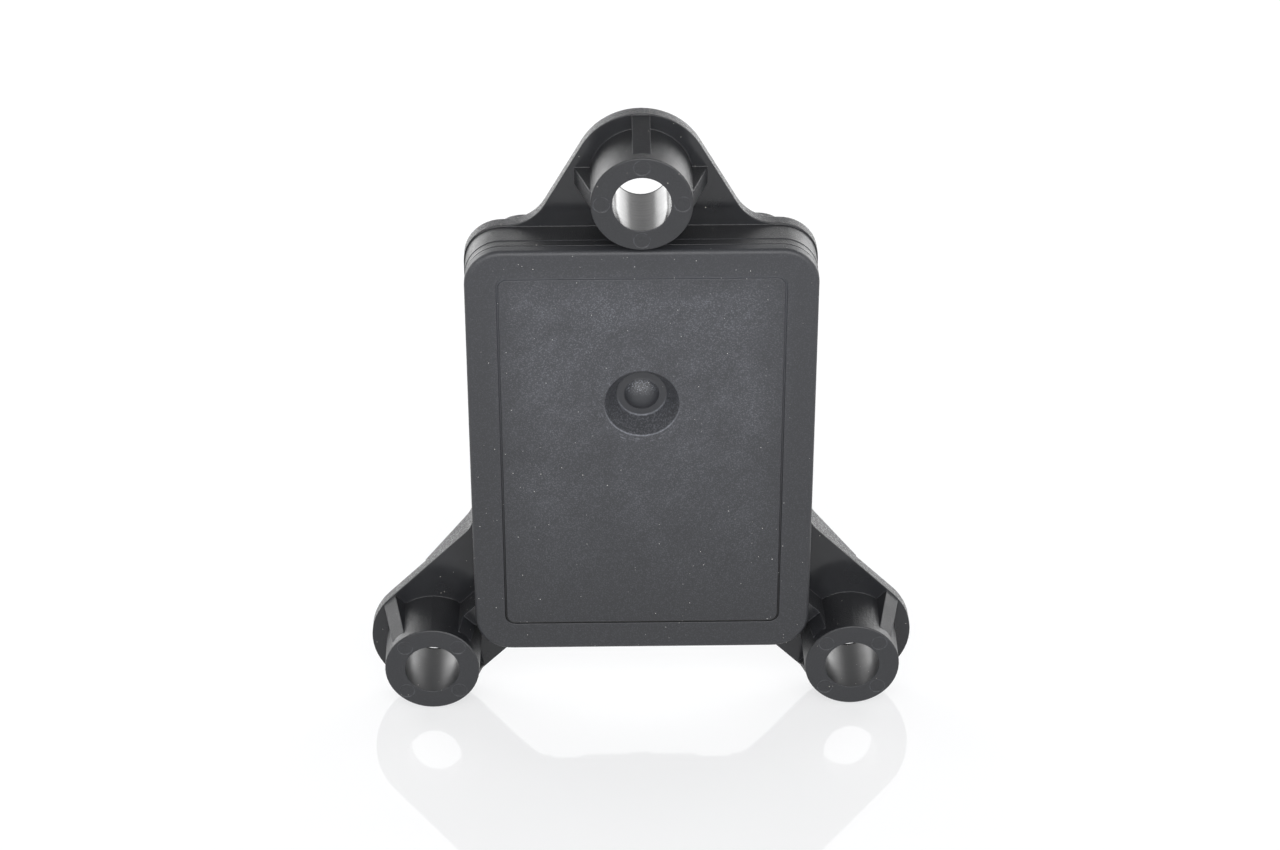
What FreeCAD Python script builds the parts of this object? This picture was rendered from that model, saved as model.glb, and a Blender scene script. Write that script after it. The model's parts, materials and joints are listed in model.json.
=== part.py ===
"""Manifold absolute pressure sensor with three mounting bosses.

Millimetres. X runs across the sensor, +Y points away from the wall it is bolted to,
+Z points up along its height. The origin is the centre of the top mounting hole, in the
plane of the three boss ends that meet the wall. The cover faces the wall; the hose
nipple and the connector socket point away from it.
"""

import FreeCAD
import Part
import math
import os

Vector = FreeCAD.Vector

# Mounting bosses and ears
BOLT_SPACING = 50.0
BOLT_RISE = 62.0
BORE_RADIUS = 3.25
BOSS_RADIUS = 5.6
BOSS_DRAFT = 0.12
BOSS_EDGE_ROUND = 0.15
BOSS_LENGTH = 7.0
EAR_RADIUS = 7.5
EAR_THICKNESS = 1.8
EAR_TOP_SLOPE = 60.0
EAR_TOP_FILLET = 5.0
EAR_LOW_FILLET = 3.0
EAR_EDGE_ROUND = 0.3
RAMP_START = 6.4
RAMP_ANGLE = 16.0
RAMP_MARGIN = 0.9
GUSSET_WIDTH = 2.0
GUSSET_REACH = 7.35
GUSSET_CREST = 5.6
GUSSET_START = 1.2
SHELF_LEVEL = 3.6
PIN_MARK_RADIUS = 0.9
PIN_MARK_DEPTH = 0.04

# Body of the housing
BODY_WIDTH = 39.4
BODY_TOP = -6.3
BODY_BOTTOM = -59.9
BODY_CORNER = 4.25
WALL = 1.7
FLANGE_OVERHANG = 0.18
RIM_LEVEL = 2.65
RIM_BAND = 1.15
RIM_STEP = 0.05
BOX_INSET = 2.1
BOX_FACE = 14.4
BOX_DRAFT = 0.1
BOX_EDGE_ROUND = 0.4
FRONT_WALL = 1.5

# Rear cover
COVER_FACE = 1.0
COVER_EDGE = 1.4
COVER_ROUND = 0.5
COVER_THICKNESS = 2.0
COVER_SKIRT = 1.2
COVER_SKIRT_DEPTH = 2.0
FIT_GAP = 0.15
PANEL_WIDTH = 32.1
PANEL_HEIGHT = 46.4
PANEL_RISE = 0.2
PANEL_CORNER = 1.1
PANEL_GROOVE = 0.3
PANEL_GROOVE_SIDE = 0.06
PANEL_GROOVE_DEPTH = 0.22
WELL_MOUTH = 4.25
WELL_FLOOR = 2.87
WELL_DEPTH = 2.2
WELL_WALL = 1.1
DOME_RADIUS = 2.0
DOME_HEIGHT = 0.95

# Seal bead between the cover and the housing
BEAD_WIDTH = 0.7
BEAD_HEIGHT = 1.1

# Pressure port and hose nipple
PORT_Z = -25.85
NIPPLE_RADIUS = 2.6
NIPPLE_BEAD = 3.05
NIPPLE_TIP = 2.3
NIPPLE_LENGTH = 14.0
NIPPLE_PLAIN = 8.0
NIPPLE_BEAD_RISE = 0.7
NIPPLE_BEAD_LAND = 1.0
NIPPLE_BORE = 1.2
COLLAR_RADIUS = 4.4
COLLAR_HEIGHT = 1.2
PORT_BOSS_WALL = 1.3

# Connector socket
SHROUD_WIDTH = 18.9
SHROUD_HEIGHT = 10.6
SHROUD_CORNER = 3.0
SHROUD_WALL = 1.4
SHROUD_MOUTH = 30.2
SHROUD_RISE = 3.8
SOCKET_STEP = 2.0
SOCKET_CHAMFER = 0.4
ROOT_STEP = 0.5
ROOT_HEIGHT = 1.3
LATCH_WIDTH = 2.7
LATCH_HEIGHT = 1.5
LATCH_BACK = 8.7
LATCH_NOSE = 4.2
KEY_WIDTH = 1.0
KEY_HEIGHT = 0.8
KEY_SPACING = 9.6
KEY_SETBACK = 3.5

# Terminals
TERMINALS = ("terminal_supply", "terminal_signal", "terminal_ground")
TERMINAL_PITCH = 5.0
BLADE_WIDTH = 2.8
BLADE_THICKNESS = 0.8
BLADE_LENGTH = 8.0
BLADE_TIP = 0.7
TAIL_WIDTH = 1.2
TAIL_OUT = 0.9

# Circuit board
BOARD_THICKNESS = 1.6
BOARD_GAP = 0.3
LEDGE_LEVEL = 7.4
STAKE_RADIUS = 1.0
STAKE_INSET = 3.4
STAKE_HEAD = 1.7
STAKE_HEAD_HEIGHT = 0.6
HOLE_GAP = 0.1

# Pressure cell
HEADER_RADIUS = 4.5
HEADER_HEIGHT = 1.5
CELL_STANDOFF = 0.2
CAP_RADIUS = 3.7
CAP_HEIGHT = 2.1
CAP_WALL = 0.3
TUBE_RADIUS = 1.5
TUBE_BORE = 0.8
TUBE_LENGTH = 5.4
TUBE_GAP = 0.06
GLASS_SIDE = 2.4
GLASS_HEIGHT = 0.9
CHIP_SIDE = 2.0
CHIP_HEIGHT = 0.4
CHIP_RECESS = 0.25
CHIP_WINDOW = 0.6
CELL_PINS = 6
PIN_RADIUS = 0.23
PIN_CIRCLE = 3.95
PIN_OUT = 0.6

# O-ring round the inlet tube
RING_SECTION = 1.4
RING_SQUEEZE = 0.05

# Parts on the circuit board
CHIP_BODY = (6.2, 1.5, 3.9)
CHIP_PLACE = (-8.6, -38.0)
CHIP_LEADS = 7
LEAD_PITCH = 0.8
LEAD_WIDTH = 0.35
LEAD_THICKNESS = 0.2
LEAD_REACH = 1.05
LEAD_FOOT = 0.5
CAPACITOR_BODY = (2.0, 1.25, 1.25)
CAPACITOR_BAND = 0.4
RESISTOR_BODY = (1.6, 0.55, 0.8)
RESISTOR_PITCH = 2.6
RESISTOR_ROW = 5
RESISTOR_PLACE = (3.6, -40.0)
SOLDER_RISE = 0.7
SOLDER_SPREAD = 0.75
SOLDER_TIP = 0.1

# Derived places
FLANGE_BACK = BOSS_LENGTH
FLANGE_FRONT = FLANGE_BACK + EAR_THICKNESS
BODY_Z = (BODY_TOP + BODY_BOTTOM) / 2
BODY_HEIGHT = BODY_TOP - BODY_BOTTOM
CAVITY_WIDTH = BODY_WIDTH - 2 * WALL
CAVITY_HEIGHT = BODY_HEIGHT - 2 * WALL
CAVITY_CORNER = BODY_CORNER - WALL
BOX_WIDTH = BODY_WIDTH - 2 * BOX_INSET
BOX_HEIGHT = BODY_HEIGHT - 2 * BOX_INSET
BOX_FLOOR = BOX_FACE - FRONT_WALL
COVER_UNDER = COVER_FACE + COVER_EDGE
COVER_INSIDE = COVER_FACE + COVER_THICKNESS
PANEL_Z = BODY_Z + PANEL_RISE
BEAD_CENTRE_INSET = WALL / 2
SHROUD_Z = BODY_BOTTOM + SHROUD_RISE + SHROUD_HEIGHT / 2
SOCKET_WIDTH = SHROUD_WIDTH - 2 * SHROUD_WALL
SOCKET_HEIGHT = SHROUD_HEIGHT - 2 * SHROUD_WALL
SOCKET_FLOOR = BOX_FACE + SOCKET_STEP
BOARD_FRONT = LEDGE_LEVEL
BOARD_BACK = BOARD_FRONT - BOARD_THICKNESS
BOARD_WIDTH = CAVITY_WIDTH - 2 * BOARD_GAP
BOARD_HEIGHT = CAVITY_HEIGHT - 2 * BOARD_GAP
BOARD_CORNER = CAVITY_CORNER - BOARD_GAP
CAP_TOP = BOARD_FRONT + CELL_STANDOFF
HEADER_BACK = CAP_TOP + CAP_HEIGHT
HEADER_FRONT = HEADER_BACK + HEADER_HEIGHT
GLASS_TOP = HEADER_BACK - GLASS_HEIGHT
CHIP_TOP = GLASS_TOP - CHIP_HEIGHT
TUBE_END = HEADER_FRONT + TUBE_LENGTH
RING_BORE = TUBE_RADIUS - RING_SQUEEZE / 2
RING_SEAT_RADIUS = TUBE_RADIUS + RING_SECTION
RING_BACK = HEADER_FRONT + FIT_GAP
RING_FRONT = RING_BACK + RING_SECTION
PORT_BOSS_RADIUS = RING_SEAT_RADIUS + PORT_BOSS_WALL
BOSSES = (
    (0.0, 0.0, (0, 90, 180), 270, SHELF_LEVEL),
    (-BOLT_SPACING / 2, -BOLT_RISE, (135, 225, 315), 45, GUSSET_START),
    (BOLT_SPACING / 2, -BOLT_RISE, (45, 225, 315), 135, GUSSET_START),
)
CAPACITORS = (
    ("capacitor_supply", -TERMINAL_PITCH, SHROUD_Z + 6.0),
    ("capacitor_signal", 0.0, SHROUD_Z + 6.0),
    ("capacitor_filter", 9.8, -34.0),
)


def rounded_wire(x, z, width, height, radius, y):
    """Rounded rectangle in the plane at y, centred on x and z."""
    right = width / 2
    top = height / 2
    edges = []
    corners = ((1, 1, 0), (-1, 1, 90), (-1, -1, 180), (1, -1, 270))
    points = []
    for side, up, start in corners:
        cx = x + side * (right - radius)
        cz = z + up * (top - radius)
        arc = [
            Vector(cx + radius * math.cos(math.radians(a)), y, cz + radius * math.sin(math.radians(a)))
            for a in (start, start + 45, start + 90)
        ]
        points.append(arc)
    for index, arc in enumerate(points):
        following = points[(index + 1) % len(points)]
        edges.append(Part.Arc(*arc).toShape())
        edges.append(Part.LineSegment(arc[2], following[0]).toShape())
    return Part.Wire(edges)


def rounded_slab(x, z, width, height, radius, y0, y1):
    """Solid rounded rectangle from level y0 to level y1."""
    face = Part.Face(rounded_wire(x, z, width, height, radius, y0))
    return face.extrude(Vector(0, y1 - y0, 0))


def tapered_slab(x, z, width, height, radius, y0, y1, inset):
    """Rounded rectangle that is smaller by inset on every side at y1."""
    start = rounded_wire(x, z, width, height, radius, y0)
    end = rounded_wire(x, z, width - 2 * inset, height - 2 * inset, radius - inset, y1)
    return Part.makeLoft([start, end], True, True)


def frame_slab(x, z, width, height, radius, thickness, y0, y1):
    """Rounded rectangular frame, thickness wide inside its outline."""
    outer = rounded_slab(x, z, width, height, radius, y0, y1)
    inner = rounded_slab(
        x, z, width - 2 * thickness, height - 2 * thickness, radius - thickness, y0, y1
    )
    return outer.cut(inner)


def prism(points, y0, y1):
    """Straight-sided outline of x, z points from level y0 to level y1."""
    corners = [Vector(px, y0, pz) for px, pz in points]
    face = Part.Face(Part.makePolygon(corners + [corners[0]]))
    return face.extrude(Vector(0, y1 - y0, 0))


def block(x, z, width, height, y0, y1):
    """Rectangular block centred on x and z."""
    corner = Vector(x - width / 2, y0, z - height / 2)
    return Part.makeBox(width, y1 - y0, height, corner)


def cylinder(x, z, radius, y0, y1):
    return Part.makeCylinder(radius, y1 - y0, Vector(x, y0, z), Vector(0, 1, 0))


def cone(x, z, radius0, radius1, y0, y1):
    return Part.makeCone(radius0, radius1, y1 - y0, Vector(x, y0, z), Vector(0, 1, 0))


def turned(x, z, profile):
    """Solid of revolution about the Y line through x, z from radius, level points."""
    corners = [Vector(x + radius, level, z) for radius, level in profile]
    face = Part.Face(Part.makePolygon(corners + [corners[0]]))
    return face.revolve(Vector(x, 0, z), Vector(0, 1, 0), 360)


def edges_at_level(shape, y):
    """Edges that lie wholly in the plane at y."""
    return [
        edge for edge in shape.Edges
        if abs(edge.BoundBox.YMin - y) < 1e-4 and abs(edge.BoundBox.YMax - y) < 1e-4
    ]


def upright_edges(shape, places):
    """Edges along Y that pass through the given x, z places."""
    found = []
    for edge in shape.Edges:
        box = edge.BoundBox
        for px, pz in places:
            near = abs(box.Center.x - px) < 1e-3 and abs(box.Center.z - pz) < 1e-3
            if near and box.XLength < 1e-3 and box.ZLength < 1e-3:
                found.append(edge)
    return found


def flange_outline(y0, y1):
    """Body outline with its three ears, from level y0 to level y1."""
    width = BODY_WIDTH + 2 * FLANGE_OVERHANG
    height = BODY_HEIGHT + 2 * FLANGE_OVERHANG
    top = BODY_TOP + FLANGE_OVERHANG
    bottom = BODY_BOTTOM - FLANGE_OVERHANG
    side = width / 2
    slab = rounded_slab(0, BODY_Z, width, height, BODY_CORNER + FLANGE_OVERHANG, y0, y1)

    slope = math.radians(EAR_TOP_SLOPE)
    touch_x = EAR_RADIUS * math.sin(slope)
    touch_z = EAR_RADIUS * math.cos(slope)
    root_z = top - WALL
    root_x = touch_x + (touch_z - root_z) / math.tan(slope)
    top_ear = prism(
        [(-touch_x, touch_z), (-root_x, root_z), (root_x, root_z), (touch_x, touch_z)], y0, y1
    )
    slab = slab.fuse([top_ear, cylinder(0, 0, EAR_RADIUS, y0, y1)])

    reach = BODY_WIDTH / 2 - BOX_INSET
    half = EAR_RADIUS * math.sqrt(0.5)
    for sign in (-1, 1):
        x = sign * BOLT_SPACING / 2
        z = -BOLT_RISE
        low_ear = prism(
            [
                (x + sign * half, z + half),
                (x - sign * (reach - half), z + reach + half),
                (x - sign * (reach + half), z + reach - half),
                (x - sign * half, z - half),
            ],
            y0,
            y1,
        )
        slab = slab.fuse([low_ear, cylinder(x, z, EAR_RADIUS, y0, y1)])
    slab = slab.removeSplitter()

    shoulder_x = touch_x + (touch_z - top) / math.tan(slope)
    slab = slab.makeFillet(
        EAR_TOP_FILLET, upright_edges(slab, [(-shoulder_x, top), (shoulder_x, top)])
    )
    diagonal = EAR_RADIUS * math.sqrt(2)
    side_z = -BOLT_RISE + (BOLT_SPACING / 2 - side) + diagonal
    foot_x = BOLT_SPACING / 2 - (bottom + BOLT_RISE) - diagonal
    places = [(-side, side_z), (side, side_z), (-foot_x, bottom), (foot_x, bottom)]
    return slab.makeFillet(EAR_LOW_FILLET, upright_edges(slab, places))


def ear_ramp(x, z, heading):
    """Wedge on the front of an ear, rising from the bolt seat to the box."""
    rise = BOX_FACE - FLANGE_FRONT
    run = rise / math.tan(math.radians(RAMP_ANGLE))
    half = EAR_RADIUS + RAMP_MARGIN
    profile = [
        Vector(RAMP_START, FLANGE_FRONT - EAR_THICKNESS / 2, -half),
        Vector(RAMP_START, FLANGE_FRONT, -half),
        Vector(RAMP_START + run, BOX_FACE, -half),
        Vector(RAMP_START + run, FLANGE_FRONT - EAR_THICKNESS / 2, -half),
    ]
    wedge = Part.Face(Part.makePolygon(profile + [profile[0]])).extrude(Vector(0, 0, 2 * half))
    wedge.rotate(Vector(0, 0, 0), Vector(0, 1, 0), -heading)
    wedge.translate(Vector(x, 0, z))
    return wedge


def gusset(x, z, angle, profile):
    """Rib beside a boss; profile is radius, level points, angle is from +X to +Z."""
    corners = [Vector(radius, level, -GUSSET_WIDTH / 2) for radius, level in profile]
    rib = Part.Face(Part.makePolygon(corners + [corners[0]])).extrude(Vector(0, 0, GUSSET_WIDTH))
    rib.rotate(Vector(0, 0, 0), Vector(0, 1, 0), -angle)
    rib.translate(Vector(x, 0, z))
    return rib


def mounting_boss(x, z, free_angles, body_angle, shelf_start_level):
    """Drafted tube with its ribs; the rib towards the body ends in a flat shelf."""
    inner = (BORE_RADIUS + BOSS_RADIUS) / 2
    core = cone(x, z, BOSS_RADIUS, BOSS_RADIUS + BOSS_DRAFT, 0, FLANGE_BACK)
    core = core.makeFillet(BOSS_EDGE_ROUND, edges_at_level(core, 0))
    free = [
        (inner, FLANGE_BACK), (GUSSET_REACH, FLANGE_BACK), (GUSSET_CREST, GUSSET_START),
        (inner, GUSSET_START),
    ]
    fall = (SHELF_LEVEL - GUSSET_START) / (FLANGE_BACK - GUSSET_START)
    shelf_start = GUSSET_CREST + fall * (GUSSET_REACH - GUSSET_CREST)
    shelf_end = EAR_RADIUS + WALL
    to_body = [
        (inner, FLANGE_BACK), (shelf_end, FLANGE_BACK), (shelf_end, SHELF_LEVEL),
        (shelf_start, SHELF_LEVEL), (GUSSET_CREST, shelf_start_level), (inner, shelf_start_level),
    ]
    ribs = [gusset(x, z, angle, free) for angle in free_angles]
    ribs.append(gusset(x, z, body_angle, to_body))
    boss = core.fuse(ribs)
    mark_circle = (BORE_RADIUS + BOSS_RADIUS) / 2
    for angle in list(free_angles) + [body_angle]:
        mx = x + mark_circle * math.cos(math.radians(angle))
        mz = z + mark_circle * math.sin(math.radians(angle))
        boss = boss.cut(cylinder(mx, mz, PIN_MARK_RADIUS, 0, PIN_MARK_DEPTH))
    return boss


def shell_blank():
    """Outside of the housing before it is hollowed."""
    wall = rounded_slab(
        0, BODY_Z, BODY_WIDTH, BODY_HEIGHT, BODY_CORNER, RIM_LEVEL + RIM_BAND, FLANGE_BACK
    )
    band = rounded_slab(
        0, BODY_Z, BODY_WIDTH - 2 * RIM_STEP, BODY_HEIGHT - 2 * RIM_STEP,
        BODY_CORNER - RIM_STEP, RIM_LEVEL, RIM_LEVEL + RIM_BAND,
    )
    flange = flange_outline(FLANGE_BACK, FLANGE_FRONT)
    flange = flange.makeFillet(EAR_EDGE_ROUND, edges_at_level(flange, FLANGE_FRONT))
    box = tapered_slab(
        0, BODY_Z, BOX_WIDTH, BOX_HEIGHT, BODY_CORNER, FLANGE_FRONT, BOX_FACE, BOX_DRAFT
    )
    box = box.makeFillet(BOX_EDGE_ROUND, edges_at_level(box, BOX_FACE))
    raised = flange_outline(FLANGE_FRONT - EAR_THICKNESS / 2, BOX_FACE)
    ramps = [
        raised.common(ear_ramp(-BOLT_SPACING / 2, -BOLT_RISE, 45)),
        raised.common(ear_ramp(BOLT_SPACING / 2, -BOLT_RISE, 135)),
    ]
    keep = block(
        0, BODY_Z, BODY_WIDTH * 2, BODY_HEIGHT * 2, FLANGE_BACK, BOX_FACE
    ).cut(box)
    centre = block(0, BODY_Z, BOX_WIDTH - 2 * WALL, BOX_HEIGHT - 2 * WALL, FLANGE_BACK, BOX_FACE)
    ramps = [ramp.common(keep).cut(centre) for ramp in ramps]
    bosses = [mounting_boss(*boss) for boss in BOSSES]
    return flange.fuse([wall, band, box] + ramps + bosses)


def shroud():
    """Connector shroud with its root step, latch ramp and polarising keys."""
    outside = rounded_slab(
        0, SHROUD_Z, SHROUD_WIDTH, SHROUD_HEIGHT, SHROUD_CORNER, BOX_FLOOR, SHROUD_MOUTH
    )
    root = tapered_slab(
        0, SHROUD_Z, SHROUD_WIDTH + 2 * ROOT_STEP, SHROUD_HEIGHT + 2 * ROOT_STEP,
        SHROUD_CORNER + ROOT_STEP, BOX_FLOOR, BOX_FACE + ROOT_HEIGHT, ROOT_STEP / 2,
    )
    low = SHROUD_Z - SHROUD_HEIGHT / 2
    back = SHROUD_MOUTH - LATCH_BACK
    nose = SHROUD_MOUTH - LATCH_NOSE
    profile = [
        Vector(-LATCH_WIDTH / 2, back, low + SHROUD_WALL / 2),
        Vector(-LATCH_WIDTH / 2, back, low - LATCH_HEIGHT),
        Vector(-LATCH_WIDTH / 2, (back + nose) / 2, low - LATCH_HEIGHT),
        Vector(-LATCH_WIDTH / 2, nose, low),
        Vector(-LATCH_WIDTH / 2, nose, low + SHROUD_WALL / 2),
    ]
    latch = Part.Face(Part.makePolygon(profile + [profile[0]])).extrude(Vector(LATCH_WIDTH, 0, 0))
    return outside.fuse([root, latch])


def socket():
    """Space inside the shroud, left open for the mating plug, less the two keys."""
    radius = SHROUD_CORNER - SHROUD_WALL
    space = rounded_slab(
        0, SHROUD_Z, SOCKET_WIDTH, SOCKET_HEIGHT, radius, SOCKET_FLOOR, SHROUD_MOUTH
    )
    flare = tapered_slab(
        0, SHROUD_Z, SOCKET_WIDTH, SOCKET_HEIGHT, radius,
        SHROUD_MOUTH - SOCKET_CHAMFER, SHROUD_MOUTH, -SOCKET_CHAMFER,
    )
    top = SHROUD_Z + SOCKET_HEIGHT / 2
    for sign in (-1, 1):
        key = block(
            sign * KEY_SPACING / 2, top - KEY_HEIGHT / 2, KEY_WIDTH, KEY_HEIGHT,
            SOCKET_FLOOR, SHROUD_MOUTH - KEY_SETBACK,
        )
        space = space.cut(key)
    return space.fuse(flare)


def nipple():
    """Hose nipple with its collar and rounded retaining bead."""
    tip = BOX_FACE + NIPPLE_LENGTH
    plain_end = BOX_FACE + COLLAR_HEIGHT + NIPPLE_PLAIN
    bead = plain_end + NIPPLE_BEAD_RISE
    shape = turned(0, PORT_Z, [
        (0, BOX_FLOOR),
        (COLLAR_RADIUS, BOX_FLOOR),
        (COLLAR_RADIUS, BOX_FACE + COLLAR_HEIGHT),
        (NIPPLE_RADIUS, BOX_FACE + COLLAR_HEIGHT),
        (NIPPLE_RADIUS, plain_end),
        (NIPPLE_BEAD, bead),
        (NIPPLE_BEAD, bead + NIPPLE_BEAD_LAND),
        (NIPPLE_TIP, tip),
        (0, tip),
    ])
    collar = BOX_FACE + COLLAR_HEIGHT
    rounded = [
        edge for edge in edges_at_level(shape, collar)
        if abs(edge.BoundBox.XLength / 2 - COLLAR_RADIUS) < 1e-3
    ]
    return shape.makeFillet(COLLAR_HEIGHT / 3, rounded)


def stake_places():
    """Centres of the four posts that hold the circuit board."""
    x = BOARD_WIDTH / 2 - STAKE_INSET
    z = BOARD_HEIGHT / 2 - STAKE_INSET
    return [(sx * x, BODY_Z + sz * z) for sx in (-1, 1) for sz in (-1, 1)]


def board_stakes():
    """Posts from the box floor through the board, with rounded formed heads."""
    posts = []
    for x, z in stake_places():
        head_top = BOARD_BACK - STAKE_HEAD_HEIGHT
        posts.append(cylinder(x, z, STAKE_RADIUS, BOARD_BACK, BOX_FLOOR))
        posts.append(cylinder(x, z, STAKE_HEAD, BOARD_FRONT, BOX_FLOOR))
        posts.append(cone(x, z, STAKE_RADIUS, STAKE_HEAD, head_top, BOARD_BACK))
    return posts


def terminal_x(index):
    return (index - 1) * TERMINAL_PITCH


def terminal(index):
    """Straight blade: a full-width contact in the socket and a narrow solder tail."""
    x = terminal_x(index)
    tip = SOCKET_FLOOR + BLADE_LENGTH
    shoulder = (BOX_FLOOR + SOCKET_FLOOR) / 2
    blade = block(x, SHROUD_Z, BLADE_WIDTH, BLADE_THICKNESS, shoulder, tip - BLADE_TIP)
    start = rounded_wire(
        x, SHROUD_Z, BLADE_WIDTH, BLADE_THICKNESS, BLADE_THICKNESS / 8, tip - BLADE_TIP
    )
    end = rounded_wire(
        x, SHROUD_Z, BLADE_WIDTH / 2, BLADE_THICKNESS / 2, BLADE_THICKNESS / 16, tip
    )
    point = Part.makeLoft([start, end], True, True)
    tail = block(
        x, SHROUD_Z, TAIL_WIDTH, BLADE_THICKNESS, BOARD_BACK - TAIL_OUT, shoulder
    )
    return blade.fuse([point, tail]).removeSplitter()


def housing():
    """The one moulding that carries everything: ears, bosses, box, socket and nipple."""
    body = shell_blank().fuse([shroud(), nipple()])
    rear_room = rounded_slab(
        0, BODY_Z, CAVITY_WIDTH, CAVITY_HEIGHT, CAVITY_CORNER, RIM_LEVEL, LEDGE_LEVEL
    )
    front_room = rounded_slab(
        0, BODY_Z, BOX_WIDTH - 2 * WALL, BOX_HEIGHT - 2 * WALL, CAVITY_CORNER, LEDGE_LEVEL, BOX_FLOOR
    )
    bead = frame_slab(
        0, BODY_Z, BODY_WIDTH - 2 * BEAD_CENTRE_INSET + BEAD_WIDTH,
        BODY_HEIGHT - 2 * BEAD_CENTRE_INSET + BEAD_WIDTH,
        BODY_CORNER - BEAD_CENTRE_INSET + BEAD_WIDTH / 2, BEAD_WIDTH,
        RIM_LEVEL, COVER_UNDER + BEAD_HEIGHT,
    )
    body = body.cut([rear_room, front_room, bead])
    port_boss = cylinder(0, PORT_Z, PORT_BOSS_RADIUS, HEADER_FRONT + FIT_GAP, BOX_FLOOR)
    body = body.fuse([port_boss] + board_stakes())
    tools = [cylinder(x, z, BORE_RADIUS, 0, FLANGE_FRONT) for x, z, *_ in BOSSES]
    tools.append(socket())
    tools.append(cylinder(0, PORT_Z, RING_SEAT_RADIUS, HEADER_FRONT, RING_FRONT + FIT_GAP))
    tools.append(cylinder(0, PORT_Z, TUBE_RADIUS + TUBE_GAP, HEADER_FRONT, TUBE_END + FIT_GAP))
    tools.append(cylinder(0, PORT_Z, NIPPLE_BORE, HEADER_FRONT, BOX_FACE + NIPPLE_LENGTH))
    tools.extend(terminal(index) for index in range(len(TERMINALS)))
    return body.cut(tools).removeSplitter()


def rear_cover():
    """Cover plate with its edge, locating skirt, panel line and gate well."""
    edge = rounded_slab(
        0, BODY_Z, BODY_WIDTH, BODY_HEIGHT, BODY_CORNER, COVER_FACE, COVER_UNDER
    )
    edge = edge.makeFillet(COVER_ROUND, edges_at_level(edge, COVER_FACE))
    inner_width = CAVITY_WIDTH - 2 * FIT_GAP
    inner_height = CAVITY_HEIGHT - 2 * FIT_GAP
    inner_corner = CAVITY_CORNER - FIT_GAP
    plate = rounded_slab(
        0, BODY_Z, inner_width, inner_height, inner_corner, COVER_UNDER, COVER_INSIDE
    )
    skirt = frame_slab(
        0, BODY_Z, inner_width, inner_height, inner_corner, COVER_SKIRT,
        COVER_UNDER, COVER_UNDER + COVER_SKIRT_DEPTH,
    )
    floor = COVER_FACE + WELL_DEPTH
    cup = cone(
        0, PORT_Z, WELL_MOUTH + WELL_WALL, WELL_FLOOR + WELL_WALL, COVER_UNDER, floor + WELL_WALL
    )
    outside = tapered_slab(
        0, PANEL_Z, PANEL_WIDTH + PANEL_GROOVE, PANEL_HEIGHT + PANEL_GROOVE,
        PANEL_CORNER + PANEL_GROOVE / 2, COVER_FACE, COVER_FACE + PANEL_GROOVE_DEPTH,
        PANEL_GROOVE_SIDE,
    )
    inside = tapered_slab(
        0, PANEL_Z, PANEL_WIDTH - PANEL_GROOVE, PANEL_HEIGHT - PANEL_GROOVE,
        PANEL_CORNER - PANEL_GROOVE / 2, COVER_FACE, COVER_FACE + PANEL_GROOVE_DEPTH,
        -PANEL_GROOVE_SIDE,
    )
    groove = outside.cut(inside)
    well = cone(0, PORT_Z, WELL_MOUTH, WELL_FLOOR, COVER_FACE, floor)
    ball = (DOME_RADIUS ** 2 + DOME_HEIGHT ** 2) / (2 * DOME_HEIGHT)
    dome = Part.makeSphere(ball, Vector(0, floor - DOME_HEIGHT + ball, PORT_Z))
    dome = dome.common(cylinder(0, PORT_Z, DOME_RADIUS, floor - DOME_HEIGHT, floor + WELL_WALL / 2))
    cover = edge.fuse([plate, skirt, cup])
    return cover.cut([groove, well]).fuse(dome).removeSplitter()


def cover_seal():
    """Bead in the groove of the housing's rim, pressed by the cover."""
    return frame_slab(
        0, BODY_Z, BODY_WIDTH - 2 * BEAD_CENTRE_INSET + BEAD_WIDTH,
        BODY_HEIGHT - 2 * BEAD_CENTRE_INSET + BEAD_WIDTH,
        BODY_CORNER - BEAD_CENTRE_INSET + BEAD_WIDTH / 2, BEAD_WIDTH,
        COVER_UNDER, COVER_UNDER + BEAD_HEIGHT,
    )


def cell_pin_places():
    """Centres of the pressure cell's pins on their circle."""
    step = 360 / CELL_PINS
    places = []
    for index in range(CELL_PINS):
        angle = math.radians(index * step + step / 2)
        places.append((PIN_CIRCLE * math.cos(angle), PORT_Z + PIN_CIRCLE * math.sin(angle)))
    return places


def circuit_board():
    """Board on the housing's ledge, drilled for posts, terminals and cell pins."""
    board = rounded_slab(
        0, BODY_Z, BOARD_WIDTH, BOARD_HEIGHT, BOARD_CORNER, BOARD_BACK, BOARD_FRONT
    )
    holes = [
        cylinder(x, z, STAKE_RADIUS + HOLE_GAP, BOARD_BACK, BOARD_FRONT) for x, z in stake_places()
    ]
    holes += [
        cylinder(x, z, PIN_RADIUS + HOLE_GAP, BOARD_BACK, BOARD_FRONT)
        for x, z in cell_pin_places()
    ]
    holes += [
        block(
            terminal_x(index), SHROUD_Z, TAIL_WIDTH + 2 * HOLE_GAP,
            BLADE_THICKNESS + 2 * HOLE_GAP, BOARD_BACK, BOARD_FRONT,
        )
        for index in range(len(TERMINALS))
    ]
    return board.cut(holes)


def cell_header():
    """Steel disc that carries the pressure cell, drilled for its pins and tube."""
    disc = cylinder(0, PORT_Z, HEADER_RADIUS, HEADER_BACK, HEADER_FRONT)
    holes = [cylinder(x, z, PIN_RADIUS, HEADER_BACK, HEADER_FRONT) for x, z in cell_pin_places()]
    holes.append(cylinder(0, PORT_Z, TUBE_RADIUS, HEADER_BACK + HEADER_HEIGHT / 2, HEADER_FRONT))
    holes.append(cylinder(0, PORT_Z, TUBE_BORE, HEADER_BACK, HEADER_FRONT))
    return disc.cut(holes)


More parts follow.
